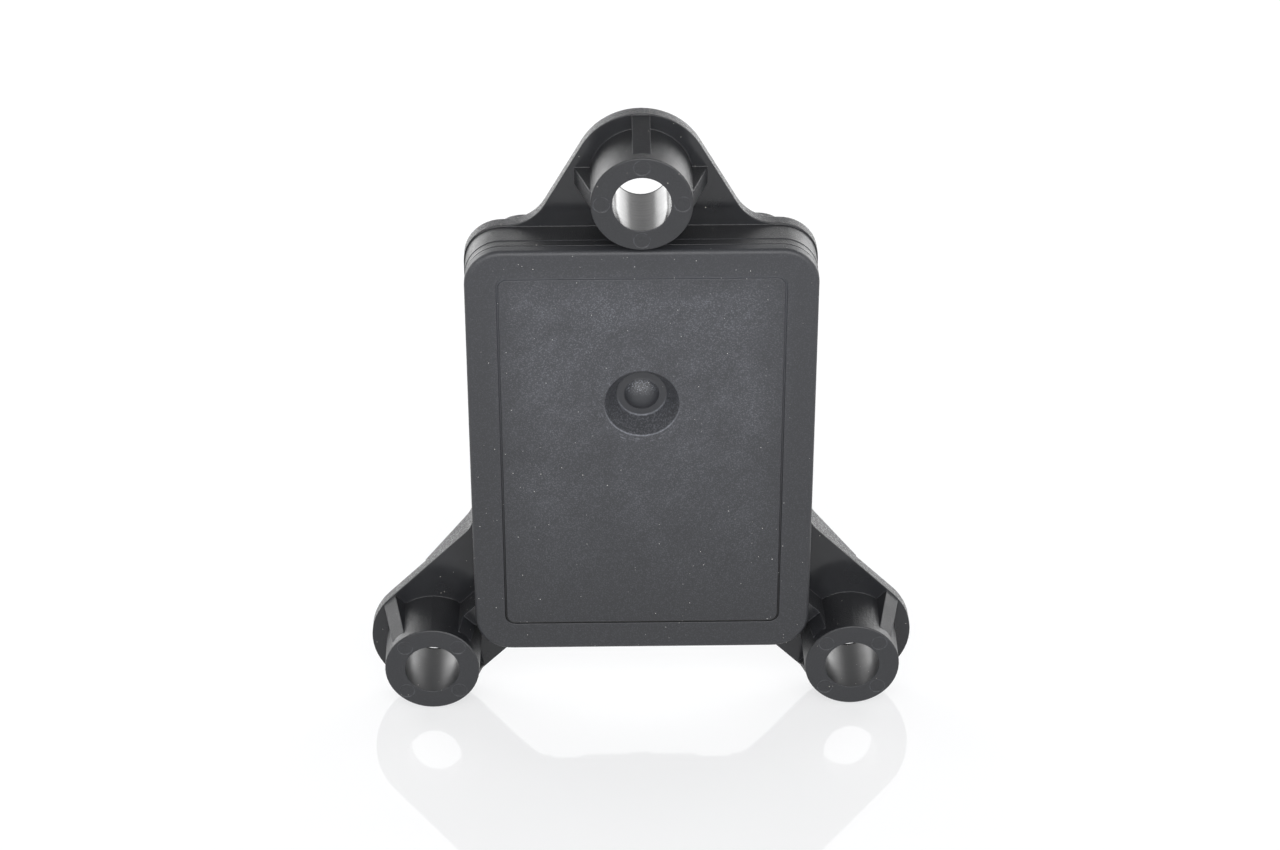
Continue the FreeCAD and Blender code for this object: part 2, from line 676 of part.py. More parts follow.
def cell_inlet_tube():
    start = HEADER_BACK + HEADER_HEIGHT / 2
    tube = cylinder(0, PORT_Z, TUBE_RADIUS, start, TUBE_END)
    return tube.cut(cylinder(0, PORT_Z, TUBE_BORE, start, TUBE_END))


def cell_cap():
    """Drawn cap over the chip, closed on the side of the board."""
    cap = cylinder(0, PORT_Z, CAP_RADIUS - CAP_WALL, CAP_TOP, HEADER_BACK)
    cap = cap.makeFillet(2 * CAP_WALL, edges_at_level(cap, CAP_TOP))
    inside = cylinder(0, PORT_Z, CAP_RADIUS - 2 * CAP_WALL, CAP_TOP + CAP_WALL, HEADER_BACK)
    inside = inside.makeFillet(CAP_WALL, edges_at_level(inside, CAP_TOP + CAP_WALL))
    return cap.cut(inside)


def glass_base():
    base = block(0, PORT_Z, GLASS_SIDE, GLASS_SIDE, GLASS_TOP, HEADER_BACK)
    return base.cut(cylinder(0, PORT_Z, CHIP_WINDOW, GLASS_TOP, HEADER_BACK))


def sensor_chip():
    """Silicon chip with the etched recess that leaves its membrane."""
    chip = block(0, PORT_Z, CHIP_SIDE, CHIP_SIDE, CHIP_TOP, GLASS_TOP)
    half = CHIP_WINDOW
    low = [Vector(sx * half, GLASS_TOP, PORT_Z + sz * half)
           for sx, sz in ((-1, -1), (1, -1), (1, 1), (-1, 1))]
    small = half - CHIP_RECESS / 2
    high = [Vector(sx * small, GLASS_TOP - CHIP_RECESS, PORT_Z + sz * small)
            for sx, sz in ((-1, -1), (1, -1), (1, 1), (-1, 1))]
    recess = Part.makeLoft(
        [Part.makePolygon(low + [low[0]]), Part.makePolygon(high + [high[0]])], True, True
    )
    return chip.cut(recess)


def cell_pins():
    """Pins from the cell's header through the board."""
    return Part.makeCompound([
        cylinder(x, z, PIN_RADIUS, BOARD_BACK - PIN_OUT, HEADER_FRONT)
        for x, z in cell_pin_places()
    ])


def port_seal():
    """O-ring on the inlet tube, in its seat at the root of the nipple."""
    centre = TUBE_RADIUS + RING_SECTION / 2
    return Part.makeTorus(
        centre, RING_SECTION / 2 - RING_SQUEEZE / 2,
        Vector(0, (RING_BACK + RING_FRONT) / 2 + FIT_GAP / 2, PORT_Z), Vector(0, 1, 0),
    )


def signal_chip():
    """Moulded body of the amplifier chip, tapered to its parting line."""
    width, height, depth = CHIP_BODY
    x, z = CHIP_PLACE
    foot = BOARD_BACK - LEAD_THICKNESS
    middle = foot - height / 2
    inset = height / 8
    wires = [
        rounded_wire(x, z, width - 2 * inset, depth - 2 * inset, inset, foot),
        rounded_wire(x, z, width, depth, inset, middle),
        rounded_wire(x, z, width - 2 * inset, depth - 2 * inset, inset, foot - height),
    ]
    return Part.makeLoft(wires, True, True)


def signal_chip_leads():
    """Formed leads of the amplifier chip, seven on each side."""
    width, height, depth = CHIP_BODY
    x, z = CHIP_PLACE
    foot = BOARD_BACK
    middle = foot - LEAD_THICKNESS - height / 2
    leads = []
    for sign in (-1, 1):
        near = z + sign * depth / 2
        far = near + sign * LEAD_REACH
        bend = far - sign * LEAD_FOOT
        path = [
            (middle - LEAD_THICKNESS / 2, near),
            (middle - LEAD_THICKNESS / 2, bend + sign * LEAD_THICKNESS / 2),
            (foot - LEAD_THICKNESS, bend + sign * LEAD_THICKNESS / 2),
            (foot - LEAD_THICKNESS, far),
            (foot, far),
            (foot, bend - sign * LEAD_THICKNESS / 2),
            (middle + LEAD_THICKNESS / 2, bend - sign * LEAD_THICKNESS / 2),
            (middle + LEAD_THICKNESS / 2, near),
        ]
        for index in range(CHIP_LEADS):
            lx = x + (index - (CHIP_LEADS - 1) / 2) * LEAD_PITCH - LEAD_WIDTH / 2
            points = [Vector(lx, level, place) for level, place in path]
            face = Part.Face(Part.makePolygon(points + [points[0]]))
            leads.append(face.extrude(Vector(LEAD_WIDTH, 0, 0)))
    return Part.makeCompound(leads)


def capacitor(x, z):
    """Chip capacitor with raised end bands."""
    width, height, depth = CAPACITOR_BODY
    step = CAPACITOR_BAND / 8
    body = block(x, z, width - 2 * step, depth - 2 * step, BOARD_BACK - height + step, BOARD_BACK)
    bands = [
        block(x + sign * (width - CAPACITOR_BAND) / 2, z, CAPACITOR_BAND, depth,
              BOARD_BACK - height, BOARD_BACK)
        for sign in (-1, 1)
    ]
    return body.fuse(bands).removeSplitter()


def trim_resistors():
    """Row of chip resistors beside the amplifier chip."""
    width, height, depth = RESISTOR_BODY
    x, z = RESISTOR_PLACE
    return Part.makeCompound([
        block(x + index * RESISTOR_PITCH, z, depth, width, BOARD_BACK - height, BOARD_BACK)
        for index in range(RESISTOR_ROW)
    ])


def terminal_solder():
    """Solder cones round the three terminal tails."""
    joints = []
    for index in range(len(TERMINALS)):
        x = terminal_x(index)
        base = TAIL_WIDTH / 2 + SOLDER_SPREAD
        tip = TAIL_WIDTH / 2 + SOLDER_TIP
        joint = cone(x, SHROUD_Z, tip, base, BOARD_BACK - SOLDER_RISE, BOARD_BACK)
        joints.append(joint.cut(block(
            x, SHROUD_Z, TAIL_WIDTH, BLADE_THICKNESS, BOARD_BACK - 2 * SOLDER_RISE, BOARD_BACK
        )))
    return Part.makeCompound(joints)


def cell_solder():
    """Solder cones round the pressure cell's pins."""
    rise = PIN_OUT * 0.8
    return Part.makeCompound([
        cone(x, z, PIN_RADIUS + SOLDER_TIP, PIN_RADIUS + SOLDER_SPREAD / 2, BOARD_BACK - rise, BOARD_BACK)
        .cut(cylinder(x, z, PIN_RADIUS, BOARD_BACK - rise, BOARD_BACK))
        for x, z in cell_pin_places()
    ])


def build():
    """Every piece by its node name."""
    pieces = {
        "housing": housing(),
        "rear_cover": rear_cover(),
        "cover_seal": cover_seal(),
        "circuit_board": circuit_board(),
        "cell_header": cell_header(),
        "cell_inlet_tube": cell_inlet_tube(),
        "cell_cap": cell_cap(),
        "glass_base": glass_base(),
        "sensor_chip": sensor_chip(),
        "cell_pins": cell_pins(),
        "port_seal": port_seal(),
        "signal_chip": signal_chip(),
        "signal_chip_leads": signal_chip_leads(),
        "trim_resistors": trim_resistors(),
        "terminal_solder": terminal_solder(),
        "cell_solder": cell_solder(),
    }
    for index, name in enumerate(TERMINALS):
        pieces[name] = terminal(index)
    for name, x, z in CAPACITORS:
        pieces[name] = capacitor(x, z)
    return pieces


os.makedirs("parts", exist_ok=True)
for node, shape in build().items():
    shape.exportStep("parts/" + node + ".step")
    print(node, "solids", len(shape.Solids), "valid", shape.isValid(), "volume", round(shape.Volume, 2))
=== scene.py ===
"""Looks of a manifold absolute pressure sensor, standing on a glossy white table.

Metres. The frame's axes hold: +Z up along the sensor, -Y towards the wall it is bolted to,
which is the side the camera sees, and the origin in the middle of the top mounting hole.
"""

import json
import math

import bmesh
import bpy
from mathutils import Matrix, Vector

MM = 0.001

# Levels along Y that the housing's finishes follow, from the boss ends at 0
RIM_LEVEL = 2.65 * MM
EDGE_HIGHLIGHT_UP_TO = 6.0 * MM
PARTING_LEVEL = 7.0 * MM
BORE_END = 8.8 * MM

# Marks of the mould's pins on the boss ends, and the height above which a bore keeps its polish
BOSS_RADIUS = 5.6 * MM
PIN_MARK_RADIUS = 0.9 * MM
PIN_MARK_TURNS = (0, 45, 45)
DULL_BORES_TOP = -50 * MM

# The cover's panel inside its groove, and the well with the dome in it
COVER_LEVEL = 1.0 * MM
PANEL_MIDDLE_Z = -32.9 * MM
PANEL_HALF_WIDTH = 15.9 * MM
PANEL_HALF_HEIGHT = 23.05 * MM
PANEL_GROOVE = 0.35 * MM
HAZE_INSET = 3.5 * MM
HAZE_FADE = 5.0 * MM
WELL_MIDDLE = (0, 0, -25.85 * MM)
WELL_RADIUS = 4.25 * MM
WELL_FLOOR_RADIUS = 2.87 * MM
DOME_RADIUS = 2.0 * MM

# Small round that every moulded edge has, and the strength of the painted highlight along the edges
EDGE_ROUND = 0.17 * MM
EDGE_HIGHLIGHT = 0.35

# Distance between specks of dust, their radius in spacings, and the share of places with one
DUST_SPACING = 0.4 * MM
DUST_RADIUS = 0.13
DUST_SHARE = 0.07

# Camera, as the photograph was taken
VIEW_PITCH = math.radians(31.744)
VIEW_YAW = math.radians(0.900)
VIEW_ROLL = math.radians(-0.072)
VIEW_DISTANCE = 350.61 * MM
VIEW_AIM = Vector((0, 0, -32 * MM))
VIEW_SHIFT_RIGHT = 0.249 * MM
VIEW_SHIFT_UP = -3.320 * MM
LENS = 86.53
SENSOR_WIDTH = 36.0

# Table that the sensor stands on, leaning back
TABLE_SLOPE = -0.2354
TABLE_TOUCH_Y = 7.0 * MM
TABLE_TOUCH_Z = -69.52 * MM
TABLE_HALF = 2.5
TABLE_PAINT = (0.93, 0.93, 0.93, 1.0)
TABLE_GLOW = (0.985, 0.99, 1.0, 1.0)
TABLE_GLOW_POWER = 1.13
TABLE_GLOW_SHARE = 0.6
TABLE_MIRROR = 0.05
TABLE_MIRROR_BLUR = 0.03

# The room: its light, and the white that the camera and reflections see
WHITE = (1.0, 1.0, 1.0, 1.0)
ROOM_LIGHT = 0.12
WALL_WHITE = 1.0
CEILING_WHITE = 0.4
WALL_TOP = 0.34
CEILING_EDGE = 0.62

# Softboxes, all turned towards one point: place, width, height, power in watts
LAMP_AIM = Vector((0, 0, -0.03))
SOFTBOXES = {
    "backdrop": ((0.0, 0.9, 0.13), 2.6, 0.75, 4.4),
    "backdrop_left": ((-0.68, 0.85, 0.13), 0.6, 0.75, 3.2),
    "backdrop_right": ((0.68, 0.85, 0.13), 0.6, 0.75, 3.2),
    "backdrop_foot": ((0.0, 0.85, -0.02), 2.6, 0.42, 3.0),
    "left": ((-0.9, 0.1, 0.3), 1.6, 1.1, 2.0),
    "right": ((0.9, 0.1, 0.3), 1.6, 1.1, 2.0),
    "front": ((0.0, -0.85, 0.48), 1.6, 0.7, 14.5),
}

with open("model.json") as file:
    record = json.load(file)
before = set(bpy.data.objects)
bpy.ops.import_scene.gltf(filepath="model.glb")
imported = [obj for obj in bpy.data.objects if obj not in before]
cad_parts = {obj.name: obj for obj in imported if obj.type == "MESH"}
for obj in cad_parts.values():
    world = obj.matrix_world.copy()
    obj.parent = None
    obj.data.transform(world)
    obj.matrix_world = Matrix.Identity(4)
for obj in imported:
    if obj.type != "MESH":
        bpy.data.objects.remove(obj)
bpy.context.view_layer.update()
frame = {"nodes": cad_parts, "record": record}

# The bores through the bosses: the top one, the lower left one and the lower right one
bores = [mount for mount in frame["record"]["mounts"] if mount["kind"] == "bore"]
bore_centres = [mount["pos_m"] for mount in bores]
bore_radius = bores[0]["dims"]["r_mm"] * MM


class Shader:
    """A material's node tree, with short calls for the nodes that these finishes share."""

    def __init__(self, name):
        self.material = bpy.data.materials.new(name)
        self.material.use_nodes = True
        self.nodes = self.material.node_tree.nodes
        self.links = self.material.node_tree.links
        self.surface = self.nodes["Principled BSDF"]
        self.output = self.nodes["Material Output"]
        self.place = self.add("ShaderNodeTexCoord").outputs["Object"]

    def add(self, kind):
        return self.nodes.new(kind)

    def join(self, source, target):
        self.links.new(source, target)

    def set(self, **values):
        for name, value in values.items():
            self.surface.inputs[name.replace("_", " ")].default_value = value

    def mapped(self, stretch, turn=(0, 0, 0), vector=None):
        """Object coordinates, or another vector, stretched and then turned."""
        node = self.add("ShaderNodeMapping")
        node.inputs["Scale"].default_value = stretch
        node.inputs["Rotation"].default_value = turn
        self.join(vector or self.place, node.inputs["Vector"])
        return node.outputs["Vector"]

    def noise(self, size, detail=2.0, vector=None, roughness=0.5):
        """Noise whose lumps are about size metres across."""
        node = self.add("ShaderNodeTexNoise")
        node.inputs["Scale"].default_value = 1 / size
        node.inputs["Detail"].default_value = detail
        node.inputs["Roughness"].default_value = roughness
        self.join(vector or self.place, node.inputs["Vector"])
        return node.outputs["Fac"]

    def cells(self, size):
        """Scattered points, size metres apart: distance from each, and a random value."""
        node = self.add("ShaderNodeTexVoronoi")
        node.inputs["Scale"].default_value = 1 / size
        self.join(self.place, node.inputs["Vector"])
        parts = self.add("ShaderNodeSeparateColor")
        self.join(node.outputs["Color"], parts.inputs["Color"])
        return node.outputs["Distance"], parts.outputs["Red"]

    def nearest(self, centres):
        """Distance in the XZ plane from the nearest of some centres."""
        flat = self.mapped((1.0, 0.0, 1.0))
        least = 1.0
        for centre in centres:
            node = self.add("ShaderNodeVectorMath")
            node.operation = "DISTANCE"
            self.join(flat, node.inputs[0])
            node.inputs[1].default_value = centre
            least = self.math("MINIMUM", node.outputs["Value"], least)
        return least

    def rounded(self, radius):
        """Normal as if every edge had a small round."""
        node = self.add("ShaderNodeBevel")
        node.samples = 6
        node.inputs["Radius"].default_value = radius
        return node.outputs["Normal"]

    def edges(self, rounded):
        """1 along the edges that a rounded normal bends over, 0 on flat faces."""
        node = self.add("ShaderNodeVectorMath")
        node.operation = "DOT_PRODUCT"
        self.join(rounded, node.inputs[0])
        self.join(self.add("ShaderNodeNewGeometry").outputs["Normal"], node.inputs[1])
        return self.spread(node.outputs["Value"], 0.75, 0.985, 1.0, 0.0)

    def spread(self, value, low, high, to_low=0.0, to_high=1.0):
        """Maps low..high to to_low..to_high and clamps."""
        node = self.add("ShaderNodeMapRange")
        node.inputs["From Min"].default_value = low
        node.inputs["From Max"].default_value = high
        node.inputs["To Min"].default_value = to_low
        node.inputs["To Max"].default_value = to_high
        self.join(value, node.inputs["Value"])
        return node.outputs["Result"]

    def within(self, value, edge, fade):
        """1 up to an edge, fading to 0 past it."""
        return self.spread(value, edge, edge + fade, 1.0, 0.0)

    def math(self, operation, first, second):
        node = self.add("ShaderNodeMath")
        node.operation = operation
        for socket, value in zip(node.inputs, (first, second)):
            if isinstance(value, (int, float)):
                socket.default_value = value
            else:
                self.join(value, socket)
        return node.outputs["Value"]

    def product(self, *factors):
        """Masks and values multiplied together."""
        total = factors[0]
        for factor in factors[1:]:
            total = self.math("MULTIPLY", total, factor)
        return total

    def opposite(self, mask):
        """1 where a mask is 0, and 0 where it is 1."""
        return self.math("SUBTRACT", 1.0, mask)

    def away(self, value, middle):
        """How far a value is from a middle one, to either side."""
        return self.math("ABSOLUTE", self.math("SUBTRACT", value, middle), 0)

    def along(self, axis):
        """One of the object's coordinates, as a value."""
        node = self.add("ShaderNodeSeparateXYZ")
        self.join(self.place, node.inputs["Vector"])
        return node.outputs[axis]

    def facing(self, axis):
        """How far the surface faces along one of the object's axes, -1 to 1."""
        node = self.add("ShaderNodeSeparateXYZ")
        self.join(self.place.node.outputs["Normal"], node.inputs["Vector"])
        return node.outputs[axis]

    def blend(self, factor, first, second):
        """Colour between first and second."""
        node = self.add("ShaderNodeMix")
        node.data_type = "RGBA"
        for socket, value in ((node.inputs[6], first), (node.inputs[7], second)):
            if isinstance(value, tuple):
                socket.default_value = (*value, 1.0)
            else:
                self.join(value, socket)
        self.join(factor, node.inputs[0])
        return node.outputs[2]

    def bump(self, height, depth, below=None):
        """Bumps depth metres high, on top of the bumps below."""
        node = self.add("ShaderNodeBump")
        node.inputs["Distance"].default_value = depth
        self.join(height, node.inputs["Height"])
        if below is not None:
            self.join(below, node.inputs["Normal"])
        return node.outputs["Normal"]

    def finish(self, colour=None, roughness=None, normal=None):
        for name, value in (("Base Color", colour), ("Roughness", roughness), ("Normal", normal)):
            if value is not None:
                self.join(value, self.surface.inputs[name])
        return self.material


def grey(level):
    """Black plastic's bluish grey."""
    return (level * 0.94, level * 0.98, level * 1.12)


def dust(shader, colour, tone):
    """Sparse pale specks of dust over a colour, some fainter than others."""
    distance, random = shader.cells(DUST_SPACING)
    present = shader.math("GREATER_THAN", random, 1 - DUST_SHARE)
    paleness = shader.spread(random, 1 - DUST_SHARE, 1.0, 0.2, 1.0)
    spot = shader.spread(distance, DUST_RADIUS, DUST_RADIUS * 0.5)
    return shader.blend(shader.product(spot, present, paleness), colour, tone)


def pin_marks(shader):
    """Faint, patchy outlines that the mould's pins leave on the boss ends."""
    circle = (bore_radius + BOSS_RADIUS) / 2
    centres = []
    for (x, _, z), turn in zip(bore_centres, PIN_MARK_TURNS):
        for quarter in range(4):
            angle = math.radians(turn + 90 * quarter)
            centres.append((x + circle * math.cos(angle), 0, z + circle * math.sin(angle)))
    off_line = shader.away(shader.nearest(centres), PIN_MARK_RADIUS)
    line = shader.within(off_line, 0.04 * MM, 0.07 * MM)
    patchy = shader.spread(shader.noise(0.7 * MM, 3), 0.45, 0.6)
    on_the_end = shader.within(shader.along("Y"), 0.1 * MM, 0.1 * MM)
    return shader.product(line, patchy, on_the_end)


def housing_plastic():
    """Black moulded plastic.

    Glossy faces in the recesses, matt rings and rim where the mould was ground, polished
    bores, and coarse spark grain past the parting line.
    """
    shader = Shader("housing_plastic")
    level = shader.along("Y")
    rounded = shader.rounded(EDGE_ROUND)

    # Where each of the mould's finishes lies
    bore = shader.within(shader.nearest(bore_centres), bore_radius + 0.04 * MM, 0.04 * MM)
    shaded_bore_lip = shader.product(bore, shader.spread(level, BORE_END - 0.3 * MM, BORE_END - 0.2 * MM))
    past_line = shader.spread(level, PARTING_LEVEL + 0.08 * MM, PARTING_LEVEL + 0.16 * MM)
    spark_part = shader.product(past_line, shader.opposite(bore))
    towards_wall = shader.within(shader.facing("Y"), -0.9, 0.1)
    near_wall = shader.within(level, RIM_LEVEL + 0.2 * MM, 0.3 * MM)
    ground = shader.product(towards_wall, near_wall)
    recessed = shader.product(towards_wall, shader.opposite(near_wall))
    smooth = shader.math("MAXIMUM", recessed, bore)

    # Grain of each finish
    grain = shader.noise(0.16 * MM, 2, roughness=0.7)
    spark = shader.noise(0.26 * MM, 3, roughness=0.7)
    spark_lumps = shader.product(spark_part, shader.spread(spark, 0.4, 0.65))
    rings = shader.noise(0.4 * MM, 3, shader.mapped((0.02, 1.0, 0.02)))

    clouds = shader.spread(shader.noise(6 * MM, 5), 0.3, 0.7)
    colour = shader.blend(clouds, grey(0.013), grey(0.019))
    ground_tone = shader.blend(shader.spread(grain, 0.3, 0.7), grey(0.014), grey(0.025))
    colour = shader.blend(ground, colour, ground_tone)
    colour = shader.blend(spark_lumps, colour, grey(0.036))
    colour = shader.blend(pin_marks(shader), colour, grey(0.042))
    # Painted highlight: edges near the boss ends are painted pale, as rounded edges that catch the
    # light
    edge_highlight_zone = shader.within(level, EDGE_HIGHLIGHT_UP_TO - 1 * MM, 1 * MM)
    edge_highlight = shader.product(shader.edges(rounded), edge_highlight_zone, EDGE_HIGHLIGHT)
    colour = shader.blend(edge_highlight, colour, grey(0.09))
    # Painted shade: the far lip of each bore is painted near black
    colour = shader.blend(shaded_bore_lip, colour, grey(0.003))
    colour = dust(shader, colour, (0.9, 0.86, 0.78))

    # Spark grain catches the light where it is seen edge on
    edge_on = shader.add("ShaderNodeLayerWeight")
    edge_on.inputs["Blend"].default_value = 0.4
    sheen = shader.product(spark_lumps, shader.spread(edge_on.outputs["Facing"], 0.37, 0.58))
    shader.join(sheen, shader.surface.inputs["Sheen Weight"])
    shader.set(Sheen_Roughness=0.3)

    # The lower bores are dull, and the far lip of each bore is rough
    keeps_polish = shader.spread(shader.along("Z"), DULL_BORES_TOP, DULL_BORES_TOP + 1 * MM)
    keeps_polish = shader.math("MAXIMUM", keeps_polish, recessed)
    polish = shader.product(shader.spread(rings, 0.3, 0.7, 0.2, 0.27), keeps_polish, smooth)
    roughness = shader.spread(shader.noise(2.5 * MM, 5), 0.3, 0.7, 0.36, 0.44)
    roughness = shader.math("ADD", roughness, shader.product(spark_part, 0.12))
    roughness = shader.math("SUBTRACT", roughness, polish)
    roughness = shader.math("ADD", roughness, shader.product(shaded_bore_lip, 0.5))

    # Side walls have a deeper grain than the faces towards the wall
    deeper = shader.spread(shader.away(shader.facing("Y"), 0), 0.5, 0.7, 4.0, 1.0)
    fine_grain = shader.product(grain, deeper, shader.opposite(smooth))
    normal = shader.bump(fine_grain, 0.012 * MM, rounded)
    normal = shader.bump(shader.product(bore, rings), 0.008 * MM, normal)
    normal = shader.bump(shader.product(spark_part, spark), 0.07 * MM, normal)
    return shader.finish(colour, roughness, normal)


def inside_panel(shader, margin, fade):
    """1 on the cover's panel and a margin round it, fading to 0 on its plain border."""
    across = shader.away(shader.along("X"), 0)
    rise = shader.away(shader.along("Z"), PANEL_MIDDLE_Z)
    return shader.product(
        shader.within(across, PANEL_HALF_WIDTH + margin, fade),
        shader.within(rise, PANEL_HALF_HEIGHT + margin, fade),
    )


def well_lines(shader, from_middle, lines):
    """1 on circles round the well's middle, given as radii and half widths, 0 elsewhere."""
    drawn = 0.0
    for radius, half_width in lines:
        off_line = shader.away(from_middle, radius)
        line = shader.spread(off_line, half_width * 0.4, half_width, 1.0, 0.0)
        drawn = shader.math("MAXIMUM", line, drawn)
    return drawn


def well_tones(shader, colour, well, from_middle, fine_lumps):
    """Grained wall, painted highlights on the lower lips, scuffs below the mouth and a painted
    highlight on the dome's top, over a colour.
    """
    lower_half = shader.spread(shader.along("Z"), WELL_MIDDLE[2], WELL_MIDDLE[2] - 3 * MM)
    sparks = shader.spread(shader.noise(0.22 * MM, 3, roughness=0.7), 0.48, 0.62)
    off_floor = shader.spread(from_middle, WELL_FLOOR_RADIUS, WELL_FLOOR_RADIUS + 0.1 * MM)
    colour = shader.blend(well, colour, grey(0.03))
    colour = shader.blend(shader.product(well, off_floor, sparks), colour, grey(0.08))

    # Painted highlights on the lower half of the well's mouth and floor edges, where the rounded
    # lips would catch the light
    lip_highlights = well_lines(shader, from_middle, (
        (WELL_RADIUS + 0.05 * MM, 0.12 * MM),
        (WELL_FLOOR_RADIUS - 0.05 * MM, 0.14 * MM),
    ))
    broken = shader.spread(sparks, 0.0, 1.0, 0.45, 1.0)
    colour = shader.blend(shader.product(lip_highlights, lower_half, broken), colour, grey(0.17))

    scuffs = well_lines(shader, from_middle, (
        (WELL_RADIUS + 0.5 * MM, 0.1 * MM),
        (WELL_RADIUS + 0.8 * MM, 0.1 * MM),
    ))
    patchy = shader.spread(shader.noise(0.9 * MM, 3), 0.5, 0.62)
    colour = shader.blend(shader.product(scuffs, lower_half, patchy), colour, grey(0.11))

    # Painted highlight on the dome, where its top faces up
    dome = shader.within(from_middle, DOME_RADIUS * 0.9, DOME_RADIUS * 0.1)
    highlit_crown = shader.spread(shader.facing("Z"), 0.05, 0.5)
    return shader.blend(shader.product(dome, highlit_crown, fine_lumps), colour, grey(0.2))


def cover_plastic():
    """Black moulded plastic of the cover: a plain border, and a grained panel with wiped haze and
    painted light that grows towards the top.
    """
    shader = Shader("cover_plastic")
    rounded = shader.rounded(EDGE_ROUND)
    from_middle = shader.nearest([WELL_MIDDLE])
    well = shader.within(from_middle, WELL_RADIUS, 0.1 * MM)
    painted_top_light = shader.spread(shader.along("Z"), -55 * MM, -10 * MM)

    # Haze with slanting streaks where it was wiped, made thicker towards the top of the panel as
    # painted light, since more light falls there
    clouds = shader.spread(shader.noise(7 * MM, 6, roughness=0.65), 0.3, 0.7, 0.2, 1.0)
    haze_and_top_light = shader.product(clouds, inside_panel(shader, -HAZE_INSET, HAZE_FADE), painted_top_light)
    slanting = shader.mapped((1.0, 1.0, 1.0), (0, math.radians(-40), 0))
    wiped = shader.noise(0.8 * MM, 5, shader.mapped((1.0, 1.0, 0.25), vector=slanting), 0.65)
    streaks = shader.product(shader.spread(wiped, 0.42, 0.7), haze_and_top_light)

    # Fine grain, which shows more where the haze and the painted top light lie
    grain = shader.noise(0.15 * MM, 2, roughness=0.7)
    lumps = shader.spread(grain, 0.52, 0.64)
    grain_in_haze_and_top_light = shader.product(lumps, shader.spread(haze_and_top_light, 0.0, 0.8, 0.12, 0.7))

    # Painted light: the plastic is painted lighter towards the top of the panel
    colour = shader.blend(painted_top_light, grey(0.020), grey(0.030))
    colour = shader.blend(haze_and_top_light, colour, grey(0.047))
    colour = shader.blend(streaks, colour, grey(0.063))
    colour = shader.blend(grain_in_haze_and_top_light, colour, grey(0.155))
    colour = well_tones(shader, colour, well, from_middle, lumps)

    # Painted highlight along the edges of the outer face, and painted shade in the groove, darkest
    # at the foot of the panel
    outer_face = shader.within(shader.along("Y"), COVER_LEVEL + 0.03 * MM, 0.03 * MM)
    edge_highlight = shader.product(shader.edges(rounded), outer_face, EDGE_HIGHLIGHT)
    colour = shader.blend(edge_highlight, colour, grey(0.12))
    # Painted shade in the groove: near black at the foot of the panel, lighter towards the top
    # where more light falls
    groove_shade = shader.product(
        inside_panel(shader, PANEL_GROOVE, 0.1 * MM),
        shader.opposite(well),
        shader.opposite(outer_face),
    )
    colour = shader.blend(groove_shade, colour, shader.blend(painted_top_light, grey(0.004), grey(0.06)))
    colour = dust(shader, colour, (0.95, 0.95, 0.92))

    roughness = shader.spread(wiped, 0.3, 0.7, 0.44, 0.54)
    normal = shader.bump(grain, 0.016 * MM, rounded)
    return shader.finish(colour, roughness, normal)


def seal_rubber():
    """Black rubber of the seals, slightly cloudy."""
    shader = Shader("seal_rubber")
    colour = shader.blend(shader.noise(0.6 * MM, 3), grey(0.010), grey(0.018))
    return shader.finish(
        colour, shader.spread(shader.noise(1 * MM), 0.3, 0.7, 0.5, 0.65),
        shader.bump(shader.noise(0.3 * MM), 0.01 * MM),
    )


def tinned_metal(name, tone, roughness):
    """Tinned or plated metal with fine draw lines along Y."""
    shader = Shader(name)
    lines = shader.noise(0.08 * MM, 2, shader.mapped((1.0, 0.06, 1.0)))
    darker = tuple(0.82 * value for value in tone)
    colour = shader.blend(shader.noise(0.9 * MM, 4), tone, darker)
    shader.set(Metallic=1.0)
    return shader.finish(
        colour, shader.spread(lines, 0.3, 0.7, roughness - 0.06, roughness + 0.08),
        shader.bump(lines, 0.003 * MM),
    )


def plain_finish(name, tone, shade, size, roughness):
    """Two tones in clouds of one size, with a matching fine bump."""
    shader = Shader(name)
    clouds = shader.noise(size, 4)
    return shader.finish(
        shader.blend(shader.spread(clouds, 0.3, 0.7), tone, shade),
        shader.spread(clouds, 0.3, 0.7, roughness - 0.05, roughness + 0.05),
        shader.bump(shader.noise(size / 3), 0.01 * MM),
    )


def board_laminate():
    """Green board with the weave of its glass cloth just showing."""
    shader = Shader("board_laminate")
    weave = shader.add("ShaderNodeTexWave")
    weave.inputs["Scale"].default_value = 1 / (2.5 * MM)
    weave.inputs["Distortion"].default_value = 0.6
    shader.join(shader.mapped((1.0, 0.0, 1.0)), weave.inputs["Vector"])
    colour = shader.blend(weave.outputs["Fac"], (0.012, 0.085, 0.032), (0.018, 0.11, 0.045))
    return shader.finish(
        colour, shader.spread(shader.noise(2 * MM), 0.3, 0.7, 0.28, 0.4),
        shader.bump(weave.outputs["Fac"], 0.008 * MM),
    )


